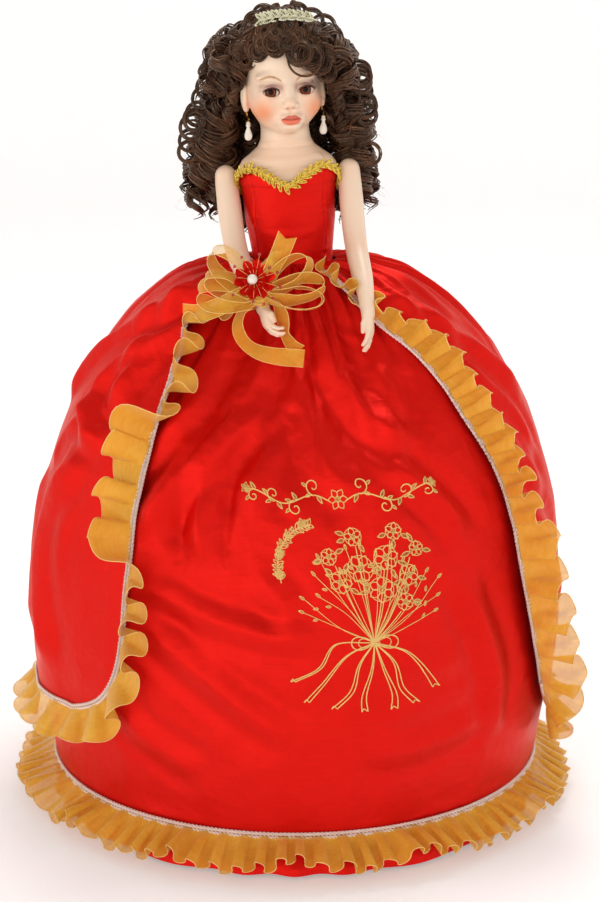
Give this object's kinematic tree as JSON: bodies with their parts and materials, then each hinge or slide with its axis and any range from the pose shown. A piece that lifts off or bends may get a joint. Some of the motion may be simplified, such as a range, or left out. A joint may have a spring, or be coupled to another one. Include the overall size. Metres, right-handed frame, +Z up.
{
  "type": "porcelain doll",
  "caption": "Bisque doll in a hooped satin ball gown with organza ruffles, jointed at shoulders and hips, held at the waist by a telescoping display stand.",
  "frame": {"origin": "centre of the stand plate's underside, on the floor", "axes": "+Z up; the doll faces -Y; +X is the doll's own left"},
  "size_m": [0.405, 0.381, 0.5646],
  "materials": {
    "enamelled_steel": "white enamel",
    "bright_steel": "brushed",
    "hoop_steel": "white tape over spring steel",
    "black_plastic": "moulded",
    "muslin": "stuffed plain-weave cotton",
    "bisque": "unglazed matt porcelain, painted features",
    "card": "plain",
    "eye_glass": "clear gloss over a brown iris",
    "hair": "synthetic hair fibre in ringlets",
    "gold_braid": "metallic thread braid",
    "gold_wire": "polished",
    "pearl": "pearlescent",
    "elastic": "covered cord",
    "red_satin": "taffeta sheen",
    "net": "stiff net",
    "cream_cord": "twisted silky cord",
    "gold_organza": "sheer crisp organza",
    "shoe": "smooth white"
  },
  "bodies": {
    "stand": {"stand_base": "enamelled_steel", "post_socket": "enamelled_steel", "stand_tube": "bright_steel", "friction_bush": "black_plastic"},
    "doll": {"stand_rod": "bright_steel", "waist_grip": "bright_steel", "torso_body": "muslin", "shoulder_head": "bisque", "head_pate": "card", "eye_right": "eye_glass", "eye_left": "eye_glass", "lashes_right": "hair", "lashes_left": "hair", "wig_crown": "hair", "wig_fringe": "hair", "wig_curls_right": "hair", "wig_curls_left": "hair", "wig_curls_back": "hair", "headband": "gold_braid", "ear_wire_right": "gold_wire", "ear_wire_left": "gold_wire", "arm_elastic": "elastic", "bodice": "red_satin", "neckline_braid": "gold_braid", "waistband": "red_satin", "petticoat": "net", "hoop_1": "hoop_steel", "hoop_2": "hoop_steel", "hoop_3": "hoop_steel", "hoop_4": "hoop_steel", "skirt": "red_satin", "hem_cord": "cream_cord", "hem_ruffle": "gold_organza", "overskirt": "red_satin", "overskirt_ruffle_right": "gold_organza", "overskirt_ruffle_left": "gold_organza", "overskirt_ruffle_back": "gold_organza"},
    "arm_right": {"arm_right": "bisque", "arm_hook_right": "bright_steel", "wrist_band": "cream_cord", "wrist_bow": "gold_organza", "wrist_flower": "red_satin", "flower_pearl": "pearl"},
    "arm_left": {"arm_left": "bisque", "arm_hook_left": "bright_steel"},
    "leg_right": {"thigh_right": "muslin", "lower_leg_right": "bisque", "shoe_right": "shoe"},
    "leg_left": {"thigh_left": "muslin", "lower_leg_left": "bisque", "shoe_left": "shoe"},
    "earring_right": {"earring_right": "pearl"},
    "earring_left": {"earring_left": "pearl"}
  },
  "joints": [
    {"name": "stand_height", "type": "slide", "parent": "stand", "child": "doll", "axis": [0, 0, 1], "range_m": [0, 0.04]},
    {"name": "shoulder_right", "type": "hinge", "parent": "doll", "child": "arm_right", "pos_m": [-0.04808, 0, 0.44926], "axis": [-0.9981, 0, -0.0611], "range_deg": [0, 60]},
    {"name": "shoulder_left", "type": "hinge", "parent": "doll", "child": "arm_left", "pos_m": [0.03776, 0, 0.45451], "axis": [-0.9981, 0, -0.0611], "range_deg": [0, 60]},
    {"name": "hip_right", "type": "hinge", "parent": "doll", "child": "leg_right", "pos_m": [-0.017, 0, 0.322], "axis": [-1, 0, 0], "range_deg": [-5, 30]},
    {"name": "hip_left", "type": "hinge", "parent": "doll", "child": "leg_left", "pos_m": [0.014, 0, 0.322], "axis": [-1, 0, 0], "range_deg": [-5, 30]},
    {"name": "earring_swing_right", "type": "hinge", "parent": "doll", "child": "earring_right", "pos_m": [-0.03299, -0.01622, 0.49297], "axis": [0.9763, 0.2079, 0.0597], "range_deg": [-20, 20]},
    {"name": "earring_swing_left", "type": "hinge", "parent": "doll", "child": "earring_left", "pos_m": [0.01875, -0.0052, 0.49613], "axis": [0.9763, 0.2079, 0.0597], "range_deg": [-20, 20]}
  ]
}
